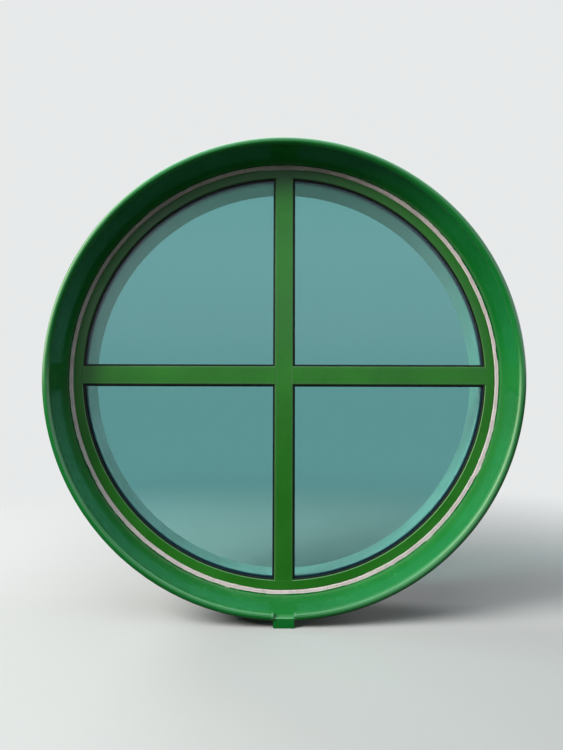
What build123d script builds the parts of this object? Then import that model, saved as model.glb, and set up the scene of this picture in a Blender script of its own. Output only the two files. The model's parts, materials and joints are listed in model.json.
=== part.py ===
from build123d import *
import os
from math import cos, degrees, radians, sin, sqrt

# Round fixed window with a cross of glazing bars, a conical painted reveal and a drip spout.
# Millimetres. The window's axis is Y and +Z is up. The outside faces -Y.
# The origin is on the axis, in the plane where the fixing flange bears on the wall.
# "forward" below is the distance from that plane towards the outside.

# Frame ring and glazing bars
frame_outer_radius = 921.0
frame_face_width = 40.0
frame_depth = 75.0
mullion_face_width = 80.0
transom_face_width = 80.0
outside_shell_depth = 22.0
inside_shell_depth = 29.0
shell_wall = 2.2
lip_thickness = 4.0
lip_bevel = 3.0
joint_gap = 0.2

# Thermal break strips between the outside and inside shells
strip_thickness = 2.0
strip_inset = 4.0

# Insulating units
pane_thickness = 6.0
cavity_width = 16.0
glass_bite = 10.0
edge_clearance = 8.0
spacer_width = 11.0
straight_seal_width = 7.5
curved_seal_width = 11.0

# Gaskets, glazing beads and setting blocks
outside_gasket_thickness = 4.0
outside_gasket_nose = 6.0
outside_gasket_bevel = 2.0
inside_gasket_thickness = 4.0
inside_gasket_nose = 1.0
gasket_cover = 8.0
bead_height = 22.0
bead_wall = 1.6
bead_gap = 0.2
block_length = 100.0
flat_block_places = (0.25, 0.75)
curved_block_angles = (14.0, 40.0)

# Joint round the frame
joint_width = 20.0
sealant_depth = 12.0
backer_rod_depth = 18.0
backer_rod_bulge = 4.0

# Fixing flange on the wall, and the collar that stands on it round the frame
flange_thickness = 4.0
collar_wall = 4.0
flange_width = 54.0
fixing_edge_distance = 25.0
fixing_hole_diameter = 11.0
fixing_hole_count = 12

# Packers and screws that hold the frame in the collar
screw_count = 8
screw_shank_diameter = 7.5
screw_hole_diameter = 8.0
screw_head_diameter = 12.0
screw_head_height = 3.0
screw_projection = 9.0
packer_length = 64.0
packer_width = 20.0

# Conical reveal with its rim tube and drip spout
reveal_spread = 42.0
rim_tube_diameter = 33.7
rim_tube_wall = 2.6
reveal_depth = 139.0
reveal_sheet = 3.0
spout_width = 85.0
spout_reach = 10.0
spout_apron = 40.0
spout_sheet = 3.0
spout_bend_inside = 2.0
spout_cap = 2.0

# Lining of the opening on the room side
lining_inset = 18.0
lining_thickness = 12.0
lining_length = 200.0

# Bar connectors inside the inside shells
connector_length = 60.0
connector_gap = 0.3

# How far a cutting shape reaches past what it cuts
overcut = 1.0

# Radii, half widths and forward places that follow from the sizes above
lip_radius = frame_outer_radius - frame_face_width
wall_radius = lip_radius + glass_bite + edge_clearance
glass_radius = lip_radius + glass_bite
seal_radius = glass_radius - curved_seal_width
sight_radius = seal_radius - spacer_width
collar_radius = frame_outer_radius + joint_width
flange_outer_radius = collar_radius + flange_width
fixing_circle_radius = flange_outer_radius - fixing_edge_distance
rim_radius = collar_radius + reveal_spread
lining_inner_radius = frame_outer_radius - lining_inset
tube_radius = rim_tube_diameter / 2
face = frame_depth
lip_back = face - lip_thickness
outside_back = face - outside_shell_depth
inside_front = inside_shell_depth
outer_pane_front = lip_back - outside_gasket_thickness
outer_pane_back = outer_pane_front - pane_thickness
inner_pane_front = outer_pane_back - cavity_width
inner_pane_back = inner_pane_front - pane_thickness
bead_front = inner_pane_back - inside_gasket_thickness
tube_forward = face + reveal_depth


def bar_lines(face_width):
    """Half widths across a glazing bar, from its centre line, for what lies on its side."""
    half = face_width / 2
    return {
        "lip": half,
        "glass": half - glass_bite,
        "wall": half - glass_bite - edge_clearance,
        "seal": half - glass_bite + straight_seal_width,
        "sight": half - glass_bite + straight_seal_width + spacer_width,
        "outside_gasket": half - gasket_cover,
        "outside_nose": half + outside_gasket_nose,
        "bead": half - glass_bite - edge_clearance + bead_height,
    }


mullion = bar_lines(mullion_face_width)
transom = bar_lines(transom_face_width)


def ring(outline, hollow=None):
    """A full ring about the window's axis, from (radius, forward) corners of its section."""
    section = make_face(Polyline(*[(radius, -forward) for radius, forward in outline], close=True))
    if hollow:
        section -= make_face(Polyline(*[(radius, -forward) for radius, forward in hollow], close=True))
    return revolve(section, Axis.Y)


def band(inner, outer, back, front):
    """Corners of a plain rectangular ring section."""
    return [(inner, back), (outer, back), (outer, front), (inner, front)]


def box_between(low, high):
    """A box from its low corner to its high corner, in X, forward and Z."""
    size = [b - a for a, b in zip(low, high)]
    middle = [(a + b) / 2 for a, b in zip(low, high)]
    return Pos(middle[0], -middle[1], middle[2]) * Box(*size)


def upright(outline, half_length):
    """A bar along Z from (across, forward) corners of its section."""
    section = make_face(Polyline(*[(across, -forward) for across, forward in outline], close=True))
    return extrude(section, amount=half_length, both=True)


def quadrant_plate(radius, gap_x, gap_z, back, front):
    """A quarter disc of the upper right quadrant, with straight edges gap_x and gap_z off the axes."""
    corner = (gap_x, gap_z)
    right = (sqrt(radius ** 2 - gap_z ** 2), gap_z)
    top = (gap_x, sqrt(radius ** 2 - gap_x ** 2))
    middle = (radius * cos(radians(45)), radius * sin(radians(45)))
    outline = Polyline(top, corner, right) + ThreePointArc(right, middle, top)
    section = make_face(Plane.XZ.offset(back) * outline)
    return extrude(section, amount=front - back, dir=(0, -1, 0))


def quadrant_loop(outer, inner, back, front):
    """A closed loop along the edge of a quadrant. outer and inner are (radius, gap_x, gap_z)."""
    return quadrant_plate(*outer, back, front) - quadrant_plate(*inner, back, front)


def in_quadrant(solid, side, level):
    """Mirrors a piece of the upper right quadrant to another one, as seen from outside."""
    if side == "left":
        solid = mirror(solid, about=Plane.YZ)
    if level == "lower":
        solid = mirror(solid, about=Plane.XY)
    return solid


def turned(solid, angle):
    """Turns a piece about the window's axis, counter-clockwise as seen from outside."""
    return Rot(0, -angle, 0) * solid


def ring_sector(outline, length_angle, angle):
    """A short piece of a ring, centred on an angle, from (radius, forward) corners of its section."""
    section = make_face(Polyline(*[(radius, -forward) for radius, forward in outline], close=True))
    return turned(revolve(section, Axis.Y, revolution_arc=length_angle), angle + length_angle / 2)


def radial_rod(diameter, start, end, forward, angle):
    """A rod that points away from the axis at an angle."""
    rod = Cylinder(diameter / 2, end - start, rotation=(0, 90, 0))
    return turned(Pos((start + end) / 2, -forward, 0) * rod, angle)


def save(shape, name):
    export_step(shape, f"parts/{name}.step")


os.makedirs("parts", exist_ok=True)

# Frame ring: outside shell with its glazing lip, notched for the ends of the bars
bar_end_radius = lip_radius + lip_bevel
ring_outside = ring(
    [
        (lip_radius, lip_back),
        (wall_radius, lip_back),
        (wall_radius, outside_back),
        (frame_outer_radius, outside_back),
        (frame_outer_radius, face),
        (lip_radius + lip_bevel, face),
        (lip_radius, face - lip_bevel),
    ],
    band(
        wall_radius + shell_wall,
        frame_outer_radius - shell_wall,
        outside_back + shell_wall,
        face - shell_wall,
    ),
)
notch_reach = ring(band(lip_radius - lip_bevel, bar_end_radius, lip_back, face))
mullion_notch = mullion["lip"] + joint_gap
transom_notch = transom["lip"] + joint_gap
reach = frame_outer_radius
ring_outside -= notch_reach & box_between((-mullion_notch, 0, -reach), (mullion_notch, face, reach))
ring_outside -= notch_reach & box_between((-reach, 0, -transom_notch), (reach, face, transom_notch))
save(ring_outside, "ring_shell_outside")

# Frame ring: two break strips and the inside shell with its screw holes
inner_strip_start = wall_radius + strip_inset
outer_strip_end = frame_outer_radius - strip_inset
inner_strip = band(
    inner_strip_start,
    inner_strip_start + strip_thickness,
    inside_front,
    outside_back,
)
outer_strip = band(
    outer_strip_end - strip_thickness,
    outer_strip_end,
    inside_front,
    outside_back,
)
save(Compound(children=[ring(inner_strip), ring(outer_strip)]), "ring_thermal_breaks")

screw_forward = inside_shell_depth / 2
screw_angles = [(index + 0.5) * 360 / screw_count for index in range(screw_count)]


def screw_hole(start, end, angle):
    """A drill through what lies between two radii, at the place of a frame screw."""
    return radial_rod(screw_hole_diameter, start - overcut, end + overcut, screw_forward, angle)


ring_inside = ring(
    band(wall_radius, frame_outer_radius, 0, inside_front),
    band(
        wall_radius + shell_wall,
        frame_outer_radius - shell_wall,
        shell_wall,
        inside_front - shell_wall,
    ),
)
for angle in screw_angles:
    ring_inside -= screw_hole(wall_radius, frame_outer_radius, angle)
save(ring_inside, "ring_shell_inside")


# Glazing bars: the mullion runs through, and the transoms butt against it
def outside_bar(lines, half_length):
    lip = lines["lip"]
    wall = lines["wall"]
    half = [
        (lip - lip_bevel, face),
        (lip, face - lip_bevel),
        (lip, lip_back),
        (wall, lip_back),
        (wall, outside_back),
    ]
    outline = half + [(-across, forward) for across, forward in reversed(half)]
    chamber_half = [
        (wall - shell_wall, face - shell_wall),
        (wall - shell_wall, outside_back + shell_wall),
    ]
    chamber = chamber_half + [(-across, forward) for across, forward in reversed(chamber_half)]
    return upright(outline, half_length) - upright(chamber, half_length)


def inside_bar(lines, half_length):
    wall = lines["wall"]
    inset = wall - shell_wall
    outline = [(-wall, 0), (wall, 0), (wall, inside_front), (-wall, inside_front)]
    chamber_front = inside_front - shell_wall
    chamber = [(-inset, shell_wall), (inset, shell_wall), (inset, chamber_front), (-inset, chamber_front)]
    return upright(outline, half_length) - upright(chamber, half_length)


def bar_strips(lines, half_length):
    near = lines["wall"] - strip_inset - strip_thickness
    far = lines["wall"] - strip_inset
    right = upright(band(near, far, inside_front, outside_back), half_length)
    return [right, mirror(right, about=Plane.YZ)]


def coping(lip_end, wall_end):
    """The space inside the ring that a bar's end is cut to."""
    steps = [(wall_end, 0), (wall_end, lip_back), (lip_end, lip_back), (lip_end, face)]
    return ring([(0, 0)] + steps + [(0, face)])


inside_of_ring = coping(bar_end_radius - joint_gap, wall_radius - joint_gap)
mullion_outside = outside_bar(mullion, frame_outer_radius) & inside_of_ring
for sign in (-1, 1):
    edge = sorted((sign * (mullion["lip"] - lip_bevel), sign * (mullion["lip"] + overcut)))
    mullion_outside -= box_between((edge[0], lip_back, -transom_notch), (edge[1], face, transom_notch))
save(mullion_outside, "mullion_shell_outside")
mullion_strips = [strip & inside_of_ring for strip in bar_strips(mullion, frame_outer_radius)]
save(Compound(children=mullion_strips), "mullion_thermal_breaks")
save(inside_bar(mullion, frame_outer_radius) & inside_of_ring, "mullion_shell_inside")

# The transom is made upright, laid down to the right and cut to the mullion
lip_start = mullion["lip"] - lip_bevel + joint_gap
wall_start = mullion["wall"] + joint_gap
right_of_mullion = box_between((wall_start, 0, -reach), (reach, lip_back, reach))
right_of_mullion += box_between((lip_start, lip_back, -reach), (reach, face, reach))
transom_shapes = {
    "shell_outside": [outside_bar(transom, frame_outer_radius)],
    "thermal_breaks": bar_strips(transom, frame_outer_radius),
    "shell_inside": [inside_bar(transom, frame_outer_radius)],
}
for shape_name, shapes in transom_shapes.items():
    right_bars = [(Rot(0, 90, 0) * shape) & inside_of_ring & right_of_mullion for shape in shapes]
    left_bars = [mirror(shape, about=Plane.YZ) for shape in right_bars]
    save(Compound(children=right_bars), f"transom_right_{shape_name}")
    save(Compound(children=left_bars), f"transom_left_{shape_name}")

# Connectors: blocks crimped inside the inside shells at the six bar ends
connector_depth = inside_shell_depth - 2 * (shell_wall + connector_gap)


def connector(lines):
    width = 2 * (lines["wall"] - shell_wall - connector_gap)
    return Pos(0, -inside_shell_depth / 2, 0) * Box(width, connector_depth, connector_length)


def inside_reach(lines):
    """How far a flat block reaches inside the ring's curved wall."""
    return sqrt((wall_radius - connector_gap) ** 2 - lines["wall"] ** 2)


mullion_place = inside_reach(mullion) - connector_length / 2
transom_far = inside_reach(transom) - connector_length / 2
transom_near = wall_start + connector_gap + connector_length / 2
flat_connector = Rot(0, 90, 0) * connector(transom)
connectors = []
for sign in (-1, 1):
    connectors.append(Pos(0, 0, sign * mullion_place) * connector(mullion))
    connectors.append(Pos(sign * transom_far, 0, 0) * flat_connector)
    connectors.append(Pos(sign * transom_near, 0, 0) * flat_connector)
save(Compound(children=connectors), "bar_connectors")

# Insulating units, gaskets and glazing beads, one set to each quadrant
glass_edge = (glass_radius, mullion["glass"], transom["glass"])
seal_edge = (seal_radius, mullion["seal"], transom["seal"])
sight_edge = (sight_radius, mullion["sight"], transom["sight"])
outer_pane = quadrant_plate(*glass_edge, outer_pane_back, outer_pane_front)
inner_pane = quadrant_plate(*glass_edge, inner_pane_back, inner_pane_front)
edge_seal = quadrant_loop(glass_edge, seal_edge, inner_pane_front, outer_pane_back)
spacer = quadrant_loop(seal_edge, sight_edge, inner_pane_front, outer_pane_back)

# Outside gasket: a flat strip under the lip with a bevelled nose on the glass
gasket_edge = (lip_radius + gasket_cover, mullion["outside_gasket"], transom["outside_gasket"])
nose_edge = (lip_radius - outside_gasket_nose, mullion["outside_nose"], transom["outside_nose"])
outside_gasket = quadrant_loop(gasket_edge, nose_edge, outer_pane_front, lip_back)
front_of_gasket = outside_gasket.faces().sort_by(Axis.Y)[0]
outside_gasket = chamfer(front_of_gasket.inner_wires()[0].edges(), outside_gasket_bevel)

bead_radius = wall_radius - bead_height
inside_nose_edge = (
    bead_radius - inside_gasket_nose,
    mullion["bead"] + inside_gasket_nose,
    transom["bead"] + inside_gasket_nose,
)
inside_gasket = quadrant_loop(gasket_edge, inside_nose_edge, bead_front, inner_pane_back)


# Glazing beads: C sections that open to the rebate wall, mitred where straight meets curved
def bead_section(wall, nose):
    """(across, forward) corners of a bead that stands on a wall and ends at its nose."""
    step = bead_wall if nose > wall else -bead_wall
    return [
        (wall, 0),
        (nose, 0),
        (nose, bead_front),
        (wall, bead_front),
        (wall, bead_front - bead_wall),
        (nose - step, bead_front - bead_wall),
        (nose - step, bead_wall),
        (wall, bead_wall),
    ]


def prism(corners):
    """A prism along the window's axis, over the depth of the beads, from (x, z) corners."""
    section = make_face(Plane.XZ * Polyline(*corners, close=True))
    return extrude(section, amount=bead_front, dir=(0, -1, 0))


bead_start_x = mullion["wall"] + bead_gap
bead_start_z = transom["wall"] + bead_gap
bead_end_x = mullion["bead"]
bead_end_z = transom["bead"]
bead_outer = wall_radius - bead_gap
inner_corner = (bead_start_x, bead_start_z)
nose_corner = (bead_end_x, bead_end_z)
top_wall = (bead_start_x, sqrt(bead_outer ** 2 - bead_start_x ** 2))
top_nose = (bead_end_x, sqrt(bead_radius ** 2 - bead_end_x ** 2))
side_wall = (sqrt(bead_outer ** 2 - bead_start_z ** 2), bead_start_z)
side_nose = (sqrt(bead_radius ** 2 - bead_end_z ** 2), bead_end_z)


def beyond(start, end, distance):
    """A point past end on the line from start."""
    run = (end[0] - start[0], end[1] - start[1])
    length = sqrt(run[0] ** 2 + run[1] ** 2)
    return (end[0] + run[0] * distance / length, end[1] + run[1] * distance / length)


vertical_bead = upright(bead_section(bead_start_x, bead_end_x), frame_outer_radius)
vertical_bead = vertical_bead & prism([inner_corner, nose_corner, top_nose, top_wall])
horizontal_bead = upright(bead_section(bead_start_z, bead_end_z), frame_outer_radius)
horizontal_bead = Rot(0, 90, 0) * mirror(horizontal_bead, about=Plane.YZ)
horizontal_bead = horizontal_bead & prism([inner_corner, side_wall, side_nose, nose_corner])
far = 2 * frame_outer_radius
arc_bead = ring(bead_section(bead_outer, bead_radius)) & prism(
    [
        nose_corner,
        side_nose,
        side_wall,
        beyond(side_nose, side_wall, bead_height),
        (far, 0),
        (far, far),
        (0, far),
        beyond(top_nose, top_wall, bead_height),
        top_wall,
        top_nose,
    ]
)

for level in ("upper", "lower"):
    for side in ("left", "right"):
        quadrant = f"{level}_{side}"
        save(in_quadrant(outer_pane, side, level), f"unit_{quadrant}_outer_pane")
        save(in_quadrant(inner_pane, side, level), f"unit_{quadrant}_inner_pane")
        save(in_quadrant(spacer, side, level), f"unit_{quadrant}_spacer")
        save(in_quadrant(edge_seal, side, level), f"unit_{quadrant}_edge_seal")
        save(in_quadrant(outside_gasket, side, level), f"outside_gasket_{quadrant}")
        save(in_quadrant(inside_gasket, side, level), f"inside_gasket_{quadrant}")
        save(in_quadrant(arc_bead, side, level), f"arc_bead_{quadrant}")
        save(in_quadrant(vertical_bead, side, level), f"vertical_bead_{quadrant}")
        save(in_quadrant(horizontal_bead, side, level), f"horizontal_bead_{quadrant}")

# Setting blocks: flat ones on the transoms, curved ones on the ring below the lower units
straight_run = sqrt(glass_radius ** 2 - transom["glass"] ** 2) - mullion["glass"]
block_section = band(glass_radius, wall_radius, inner_pane_back, outer_pane_front)
block_angle = degrees(block_length / glass_radius)
right_blocks = []
for share in flat_block_places:
    start = mullion["glass"] + share * straight_run - block_length / 2
    low = (start, inner_pane_back, transom["wall"])
    high = (start + block_length, outer_pane_front, transom["glass"])
    right_blocks.append(box_between(low, high))
for angle in curved_block_angles:
    right_blocks.append(ring_sector(block_section, block_angle, angle - 90))
left_blocks = [mirror(block, about=Plane.YZ) for block in right_blocks]
save(Compound(children=right_blocks + left_blocks), "setting_blocks")

# Joint between the frame and the collar: backer rod behind the sealant
sealant_back = face - sealant_depth
save(ring(band(frame_outer_radius, collar_radius, sealant_back, face)), "perimeter_sealant")
rod_front = sealant_back
rod_back = rod_front - backer_rod_depth
joint_middle = (frame_outer_radius + collar_radius) / 2
rod_outline = [
    (frame_outer_radius, rod_back + backer_rod_bulge),
    (joint_middle, rod_back),
    (collar_radius, rod_back + backer_rod_bulge),
    (collar_radius, rod_front - backer_rod_bulge),
    (joint_middle, rod_front),
    (frame_outer_radius, rod_front - backer_rod_bulge),
]
save(ring(rod_outline), "backer_rod")

# Fixing flange: a flat ring that bears on the wall, drilled for its anchors
fixing_flange = ring(band(collar_radius, flange_outer_radius, 0, flange_thickness))
drill_length = 2 * (flange_thickness + overcut)
fixing_hole = Pos(fixing_circle_radius, 0, 0) * Cylinder(
    fixing_hole_diameter / 2, drill_length, rotation=(90, 0, 0)
)
for index in range(fixing_hole_count):
    fixing_flange -= turned(fixing_hole, (index + 0.5) * 360 / fixing_hole_count)
save(fixing_flange, "fixing_flange")

# Fixing collar: a rolled flat bar on the flange, round the frame, drilled for the frame screws
collar_outer_radius = collar_radius + collar_wall
fixing_collar = ring(band(collar_radius, collar_outer_radius, flange_thickness, face))
for angle in screw_angles:
    fixing_collar -= screw_hole(collar_radius, collar_outer_radius, angle)
save(fixing_collar, "fixing_collar")

# Packers and screws between the frame and the collar
packer_section = band(
    frame_outer_radius,
    collar_radius,
    screw_forward - packer_width / 2,
    screw_forward + packer_width / 2,
)
packer_angle = degrees(packer_length / collar_radius)
head_seat = sqrt(wall_radius ** 2 - (screw_head_diameter / 2) ** 2)
screw_end = collar_outer_radius + screw_projection
packers = []
screws = []
for angle in screw_angles:
    packer = ring_sector(packer_section, packer_angle, angle)
    packers.append(packer - screw_hole(frame_outer_radius, collar_radius, angle))
    head = radial_rod(screw_head_diameter, head_seat - screw_head_height, head_seat, screw_forward, angle)
    shank = radial_rod(screw_shank_diameter, head_seat, screw_end, screw_forward, angle)
    screws.append(head + shank)
save(Compound(children=packers), "frame_packers")
save(Compound(children=screws), "frame_screws")

# Conical reveal: its visible face runs from the joint to the centre line of the rim tube
slope = reveal_spread / reveal_depth
slope_length = sqrt(1 + slope ** 2)
sheet_across = reveal_sheet * slope_length


def cone_radius(forward):
    """Radius of the reveal's visible face."""
    return collar_radius + (forward - face) * slope


def off_the_sheet(forward, thickness):
    """The point straight behind the visible face, through the sheet."""
    return (cone_radius(forward) + thickness / slope_length, forward - thickness * slope / slope_length)


cone_end = tube_forward - (tube_radius + joint_gap) / slope_length
cone = ring(
    [
        (collar_radius, face),
        (cone_radius(cone_end), cone_end),
        off_the_sheet(cone_end, reveal_sheet),
        (collar_radius + sheet_across, face),
    ]
)
save(cone, "reveal_cone")

# Rim tube: a rolled bead, cut through at the bottom for the spout
tube_wall = Circle(tube_radius) - Circle(tube_radius - rim_tube_wall)
tube_section = Pos(rim_radius, -tube_forward) * tube_wall
tube = revolve(tube_section, Axis.Y)
half_spout = spout_width / 2
spout_gap = box_between(
    (-half_spout, tube_forward - rim_tube_diameter, -rim_radius - rim_tube_diameter),
    (half_spout, tube_forward + rim_tube_diameter, -rim_radius + rim_tube_diameter),
)
save(tube - spout_gap, "rim_tube")

# Drip spout: floor in line with the reveal, a bend and an apron, with caps on the cut tube ends
bend_forward = tube_forward + spout_reach
bend_radius = cone_radius(bend_forward)
spout_start = cone_end + joint_gap
spout_section = [
    (cone_radius(spout_start), spout_start),
    (bend_radius, bend_forward),
    (bend_radius + spout_apron, bend_forward),
    (bend_radius + spout_apron, bend_forward - spout_sheet),
    (bend_radius + spout_sheet, bend_forward - spout_sheet),
    off_the_sheet(spout_start, spout_sheet),
]
spout_face = make_face(Polyline(*[(radius, -forward) for radius, forward in spout_section], close=True))


def nearest_corner(face_of_section, radius, forward):
    return face_of_section.vertices().sort_by_distance((radius, -forward, 0))[0]


outer_bend = nearest_corner(spout_face, bend_radius, bend_forward)
spout_face = fillet(outer_bend, spout_bend_inside + spout_sheet)
inner_bend = nearest_corner(spout_face, bend_radius + spout_sheet, bend_forward - spout_sheet)
spout_face = fillet(inner_bend, spout_bend_inside)
spout_space = box_between(
    (-half_spout, 0, -rim_radius - 2 * spout_apron),
    (half_spout, 2 * tube_forward, 0),
)
spout = revolve(spout_face, Axis.Y) & spout_space
cap_level = -sqrt(rim_radius ** 2 - half_spout ** 2)
for sign in (-1, 1):
    cap = Cylinder(tube_radius, spout_cap, rotation=(0, 90, 0))
    spout += Pos(sign * (half_spout - spout_cap / 2), -tube_forward, cap_level) * cap
save(spout, "drip_spout")

# Lining of the opening on the room side, against the back of the frame
lining_outer_radius = lining_inner_radius + lining_thickness
save(ring(band(lining_inner_radius, lining_outer_radius, -lining_length, 0)), "interior_lining")
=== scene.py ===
# %% [markdown]
# # A round window for the studio
# The object is a fixed round window, two metres across: a painted frame with a cross of glazing
# bars, four insulating units, and a conical steel reveal that ends in a rolled tube with a drip
# spout. The CAD model gives every part its true size and place. In this lesson we load it, keep
# the parts whose shape is already right, and model again the few that catch the light, because
# a painted edge looks real only when it is slightly round. Then we mix the finishes and light
# the window the way open daylight does, from above.

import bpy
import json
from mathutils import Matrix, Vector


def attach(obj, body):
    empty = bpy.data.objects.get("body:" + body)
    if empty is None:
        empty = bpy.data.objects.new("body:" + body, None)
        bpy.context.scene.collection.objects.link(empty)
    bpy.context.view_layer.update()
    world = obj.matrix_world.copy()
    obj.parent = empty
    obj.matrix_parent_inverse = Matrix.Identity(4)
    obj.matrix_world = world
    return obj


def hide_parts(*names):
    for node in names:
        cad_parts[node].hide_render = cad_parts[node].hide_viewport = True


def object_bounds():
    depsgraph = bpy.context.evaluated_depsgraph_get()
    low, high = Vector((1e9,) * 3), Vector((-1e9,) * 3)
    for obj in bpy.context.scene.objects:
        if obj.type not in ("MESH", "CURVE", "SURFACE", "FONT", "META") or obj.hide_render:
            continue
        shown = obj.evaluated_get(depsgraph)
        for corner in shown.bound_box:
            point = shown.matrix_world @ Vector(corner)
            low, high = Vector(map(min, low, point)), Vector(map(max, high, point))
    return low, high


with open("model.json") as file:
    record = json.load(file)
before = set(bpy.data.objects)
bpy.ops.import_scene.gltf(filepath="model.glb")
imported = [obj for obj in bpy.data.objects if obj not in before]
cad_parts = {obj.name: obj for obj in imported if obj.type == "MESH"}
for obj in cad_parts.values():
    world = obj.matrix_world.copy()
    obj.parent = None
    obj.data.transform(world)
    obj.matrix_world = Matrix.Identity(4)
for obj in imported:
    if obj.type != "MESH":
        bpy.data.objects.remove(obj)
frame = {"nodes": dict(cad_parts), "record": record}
cad_low, cad_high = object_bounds()
print("CAD nodes:", len(frame["nodes"]), "box:", list(cad_low), list(cad_high))

# %% [markdown]
# ## Tools
# A mesh could be edited by hand in the viewport, but a window with eight pieces on the same
# circles is easier to keep exact in code. The bmesh module shapes the meshes, and mathutils
# brings the turns and the noise.

# %% Bring in what the lesson needs
from math import atan2, cos, degrees, pi, radians, sin, sqrt
import json

import bmesh
import bpy
from mathutils import Matrix, Vector, noise

print("This is Blender", bpy.app.version_string)

# %% [markdown]
# ## Sizes
# Blender works in metres here. The window's axis is Y and the outside faces -Y, so "forward"
# below means how far a point lies in front of the plane that the window is fixed to, and its Y
# is minus that. We repeat the few sizes that our own pieces need, by the names they have in the
# CAD source.

# %% Sizes of the frame, the joint and the reveal
face = 0.075
lip_radius = 0.881
lip_bevel = 0.003
lip_back = 0.071
outside_back = 0.053
wall_radius = 0.899
ring_radius = 0.921
joint_radius = 0.941
bar_half = 0.040
bar_wall_half = 0.022
bar_end_radius = 0.8838
rim_radius = 0.983
tube_radius = 0.01685
tube_forward = 0.214
sheet = 0.003
spout_half = 0.0425
hairline = 0.0002
slope = (rim_radius - joint_radius) / (tube_forward - face)
slope_length = sqrt(1 + slope ** 2)
print("The reveal opens by", round(degrees(atan2(slope, 1)), 1), "degrees")

# %% [markdown]
# ## From a bmesh to a piece
# Each new piece ends the same way. Its mesh becomes an object at the origin, its faces are
# shaded smooth with sharp edges where they meet at an angle, it rides on the window's one body,
# and it takes the place of the CAD node that it stands for. We write that once.

# %% Make a finished piece
def finish_piece(bm, name, replaced, smooth_to=40):
    bmesh.ops.recalc_face_normals(bm, faces=bm.faces[:])
    mesh = bpy.data.meshes.new(name)
    bm.to_mesh(mesh)
    bm.free()
    mesh.shade_smooth()
    mesh.set_sharp_from_angle(angle=radians(smooth_to))
    piece = bpy.data.objects.new(name, mesh)
    bpy.context.scene.collection.objects.link(piece)
    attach(piece, "root")
    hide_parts(*replaced)
    print(name, "has", len(mesh.polygons), "faces")


print("Helper: finish_piece")

# %% [markdown]
# ## Sections
# Most of this window was bent or rolled to a circle. So each piece starts as a section: its
# outline as if it were cut through, with the corners rounded that a real bend or a coat of
# paint rounds. Only the outline is kept, because a spin makes faces from edges.

# %% Draw a section
arris = 0.0006


def section(corners, rounded=(), size=arris, segments=2):
    """A bmesh with the outline of a section, from (radius, forward) corners, some of them rounded."""
    bm = bmesh.new()
    points = [bm.verts.new((radius, -forward, 0)) for radius, forward in corners]
    bm.faces.new(points)
    if rounded:
        bmesh.ops.bevel(
            bm,
            geom=[points[index] for index in rounded],
            offset=size,
            offset_type="OFFSET",
            segments=segments,
            profile=0.5,
            affect="VERTICES",
            material=-1,
        )
    bmesh.ops.delete(bm, geom=bm.faces[:], context="FACES_ONLY")
    return bm


print("Paint rounds an arris over", arris * 1000, "mm")

# %% [markdown]
# ## Rings from a section
# The natural tool for a rolled piece is a spin: it turns the section about the axis and joins
# its ends. A Screw modifier would do the same, but the operator leaves a plain mesh that we can
# cut and push afterwards. 360 steps keep the mirror images in the glossy reveal free of facets.

# %% Spin a section
steps_round = 360


def spin_round(bm, steps=steps_round):
    """Turns a section all the way round the window's axis and joins its ends."""
    bmesh.ops.spin(
        bm,
        geom=bm.verts[:] + bm.edges[:],
        cent=(0, 0, 0),
        axis=(0, 1, 0),
        angle=2 * pi,
        steps=steps,
        use_merge=True,
        use_duplicate=False,
    )


print("One step of a spin turns by", 360 / steps_round, "degrees")

# %% [markdown]
# ## Where paint is thin, and painted highlights
# On an arris the coat is thin and dust stays, so the edge reads as a fine pale line; that line is
# also a painted highlight of the light that the arris catches. On the rim tube and the spout the
# same number paints highlights only, except at the tube's bare cut ends. Pointiness could find
# edges by itself, but it depends on how dense a mesh is. Instead our pieces store a number at
# their points, and the finish reads it. Where nothing is stored it reads 0.

# %% Mark the wear and the painted highlights
wear_and_highlight_name = "wear_and_highlight"


def mark_wear_and_highlight(bm, wear_and_highlight_test):
    """Stores how worn each point is and how much painted highlight it gets, from 0 to 1, as the test for
    this piece says.
    """
    wear_and_highlight = bm.verts.layers.float.new(wear_and_highlight_name)
    for vert in bm.verts:
        away = sqrt(vert.co.x ** 2 + vert.co.z ** 2)
        vert[wear_and_highlight] = float(wear_and_highlight_test(vert.co, away))


print("Wear is kept in the attribute", wear_and_highlight_name)

# %% [markdown]
# ## The frame ring
# The outside half of the frame is a bent metal profile with a small bevel along the glazing lip.
# We add two support points beside the bevel, so that the worn edge and its painted highlight stay
# a narrow line instead of fading across the whole face. Under the bars' ends there is neither wear
# nor painted highlight.

# %% The outside shell of the frame ring
support = 0.0015
ring = section(
    [
        (lip_radius, lip_back),
        (wall_radius, lip_back),
        (wall_radius, outside_back),
        (ring_radius, outside_back),
        (ring_radius, face),
        (ring_radius - support, face),
        (lip_radius + lip_bevel + support, face),
        (lip_radius + lip_bevel, face),
        (lip_radius, face - lip_bevel),
    ],
    rounded=(0, 4, 7, 8),
)
spin_round(ring)
beside_bar = bar_half + 0.002
above_back = lip_back + 0.0003


def on_ring_bevel(at, away):
    between_bars = abs(at.x) > beside_bar and abs(at.z) > beside_bar
    return between_bars and away < lip_radius + lip_bevel + support / 2 and -at.y > above_back


mark_wear_and_highlight(ring, on_ring_bevel)
finish_piece(ring, "frame_ring_outside", ["ring_shell_outside"])

# %% [markdown]
# ## The outline of a glazing bar
# A bar has the same bevelled lip on both sides and a narrower foot behind. Its front is cut
# across into strips, because its ends have to follow a circle and a single edge can't bend.

# %% The outline of a bar
clear = bar_half - lip_bevel
across_cuts = 8


def bar_outline():
    """Corners (across, forward) of a bar's outside shell, with the front cut across for the cope."""
    front = [(clear - 2 * clear * k / across_cuts, face) for k in range(across_cuts + 1)]
    left = [
        (-bar_half, face - lip_bevel),
        (-bar_half, lip_back),
        (-bar_wall_half, lip_back),
        (-bar_wall_half, outside_back),
    ]
    right = [(-across, forward) for across, forward in reversed(left)]
    return front + left + right


print("The outline of a bar has", len(bar_outline()), "corners")

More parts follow.
